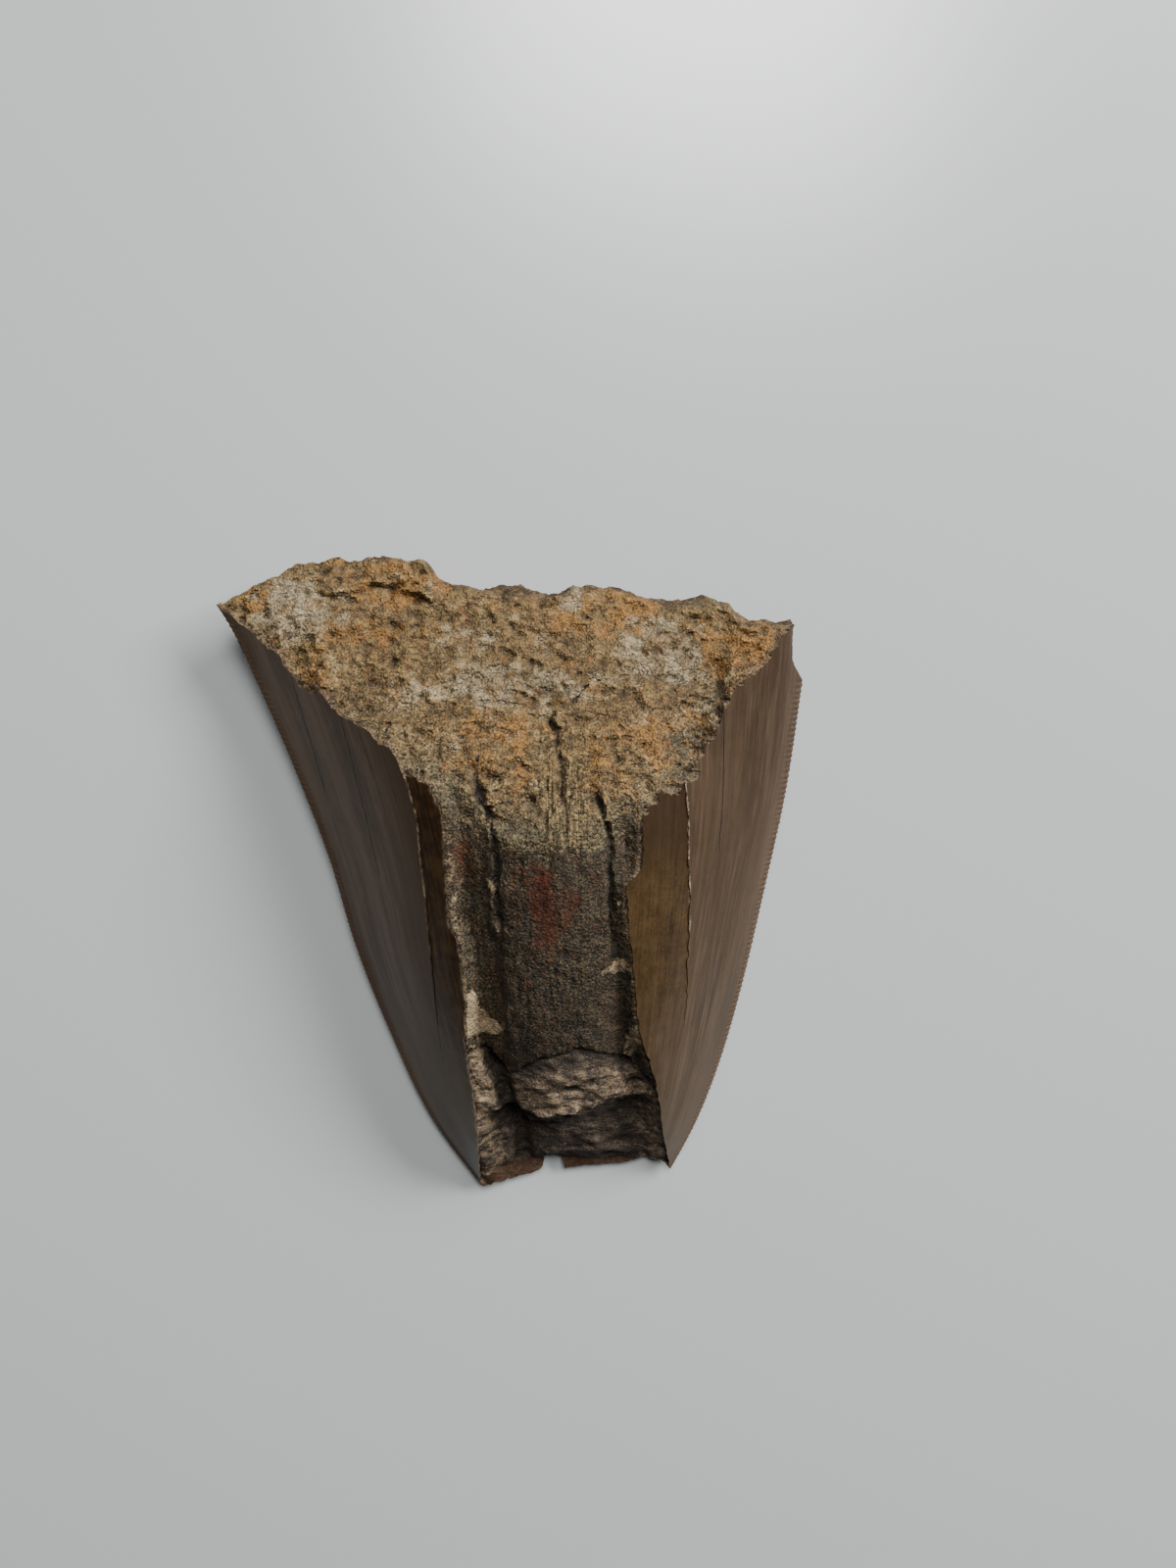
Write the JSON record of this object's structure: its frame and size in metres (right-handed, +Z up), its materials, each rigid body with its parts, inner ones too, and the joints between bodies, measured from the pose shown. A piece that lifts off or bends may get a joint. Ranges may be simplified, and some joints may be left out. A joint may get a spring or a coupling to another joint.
{
  "type": "fossil megalodon tooth",
  "caption": "Broken crown of a fossil shark tooth with serrated edges, a rough root fracture and a spalled top, lying on its flat face.",
  "frame": {"origin": "on the surface that the tooth lies on, under the middle of its bounding box", "axes": "+Z up, from the flat labial face to the domed lingual face; +Y along the tooth from the broken tip to the broken root; +X across it, from the cutting edge that flares out at the root corner to the chipped one"},
  "size_m": [0.0841, 0.0981, 0.0241],
  "materials": {
    "fossil": "satin grey-brown enamel over rough sandy and dark granular dentine"
  },
  "bodies": {
    "root": {"tooth": "fossil"}
  },
  "joints": []
}
